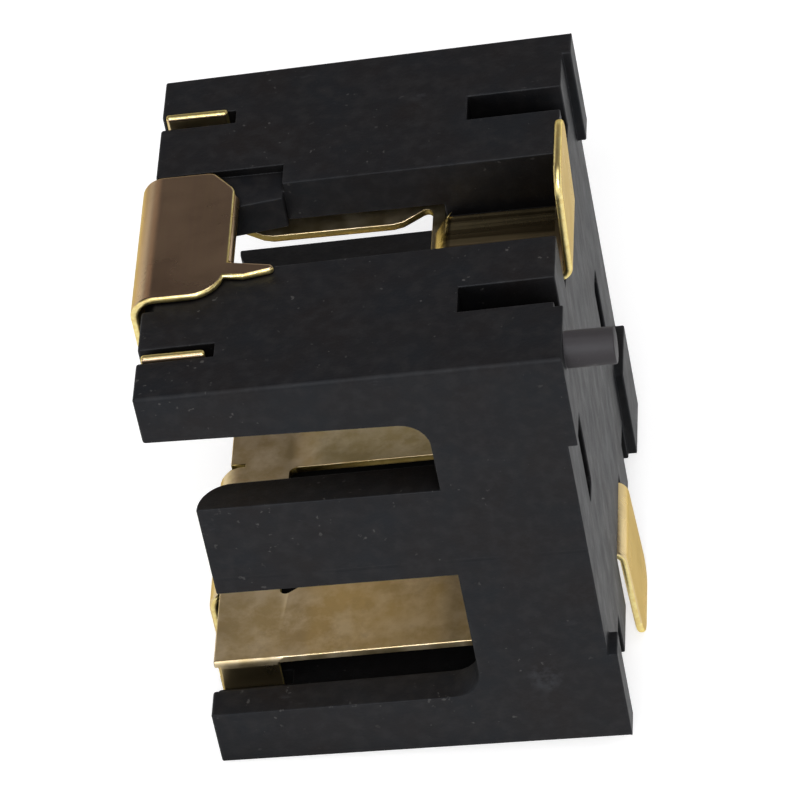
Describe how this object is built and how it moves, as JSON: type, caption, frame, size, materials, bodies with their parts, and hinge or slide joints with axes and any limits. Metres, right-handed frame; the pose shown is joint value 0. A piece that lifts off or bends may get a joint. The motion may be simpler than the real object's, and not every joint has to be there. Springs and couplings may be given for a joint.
{
  "type": "coin cell holder",
  "caption": "Board-mount holder for a short round cell: moulded cage with side windows, open end, and plated strip contacts with solder feet.",
  "frame": {"origin": "under the middle of the whole part, level with the end of the lower solder foot", "axes": "+X towards the circuit board side, +Z towards the top wall and its contact, -Y the front wall"},
  "size_m": [0.0142, 0.0148, 0.0186],
  "materials": {
    "housing": "moulded, fine grain",
    "contact": "gold plated sheet"
  },
  "bodies": {
    "root": {"housing": "housing", "top_contact": "contact", "bottom_contact": "contact"}
  },
  "joints": []
}
